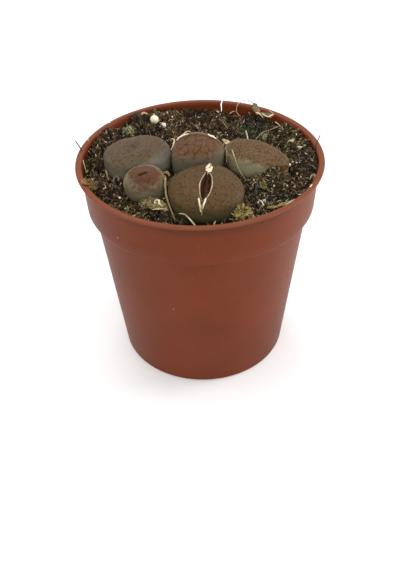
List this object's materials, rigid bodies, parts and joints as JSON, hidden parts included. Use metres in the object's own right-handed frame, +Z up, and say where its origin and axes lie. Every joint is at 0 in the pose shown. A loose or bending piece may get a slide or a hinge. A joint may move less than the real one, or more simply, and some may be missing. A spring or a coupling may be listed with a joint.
{
  "type": "potted lithops",
  "caption": "Living-stone succulents standing in peat soil, with moss, grit and dry leaf skin, in a stepped round plastic nursery pot.",
  "frame": {"origin": "centre of the pot's foot ring, on the surface that the pot stands on", "axes": "+Z up through the pot's mouth, +Y to the back of the pot, where the rim has its crack, and +X to its right"},
  "size_m": [0.085, 0.085, 0.0857],
  "materials": {
    "pot": "satin",
    "soil": "matte",
    "skin_grey": "matte",
    "skin_red": "matte",
    "skin_orange": "matte",
    "skin_brown": "matte",
    "prill": "satin",
    "perlite": "matte",
    "moss_dark": "matte",
    "moss_yellow": "matte",
    "straw": "matte",
    "dead_leaf": "matte",
    "dry_skin": "matte"
  },
  "bodies": {
    "root": {"pot": "pot", "soil": "soil", "head_back_left": "skin_grey", "head_back_centre": "skin_red", "head_back_right": "skin_orange", "head_front_small": "skin_red", "head_front_large": "skin_brown", "fertiliser_prill": "prill", "perlite_grain": "perlite", "moss_knob_back_left": "moss_yellow", "moss_patch_back_right": "moss_dark", "moss_patch_right": "moss_yellow", "moss_tuft_front_right": "moss_yellow", "moss_clump_left": "moss_yellow", "straw_between_heads": "straw", "straw_right": "straw", "straw_front": "straw", "leaf_strip_front_right": "dead_leaf", "leaf_strip_front": "dead_leaf", "leaf_scrap_back": "dead_leaf", "dry_skin_cap": "dry_skin", "dry_skin_split": "dry_skin", "dry_skin_left": "dry_skin", "dry_skin_right": "dry_skin", "dry_sheath_front_left": "dry_skin"}
  },
  "joints": []
}
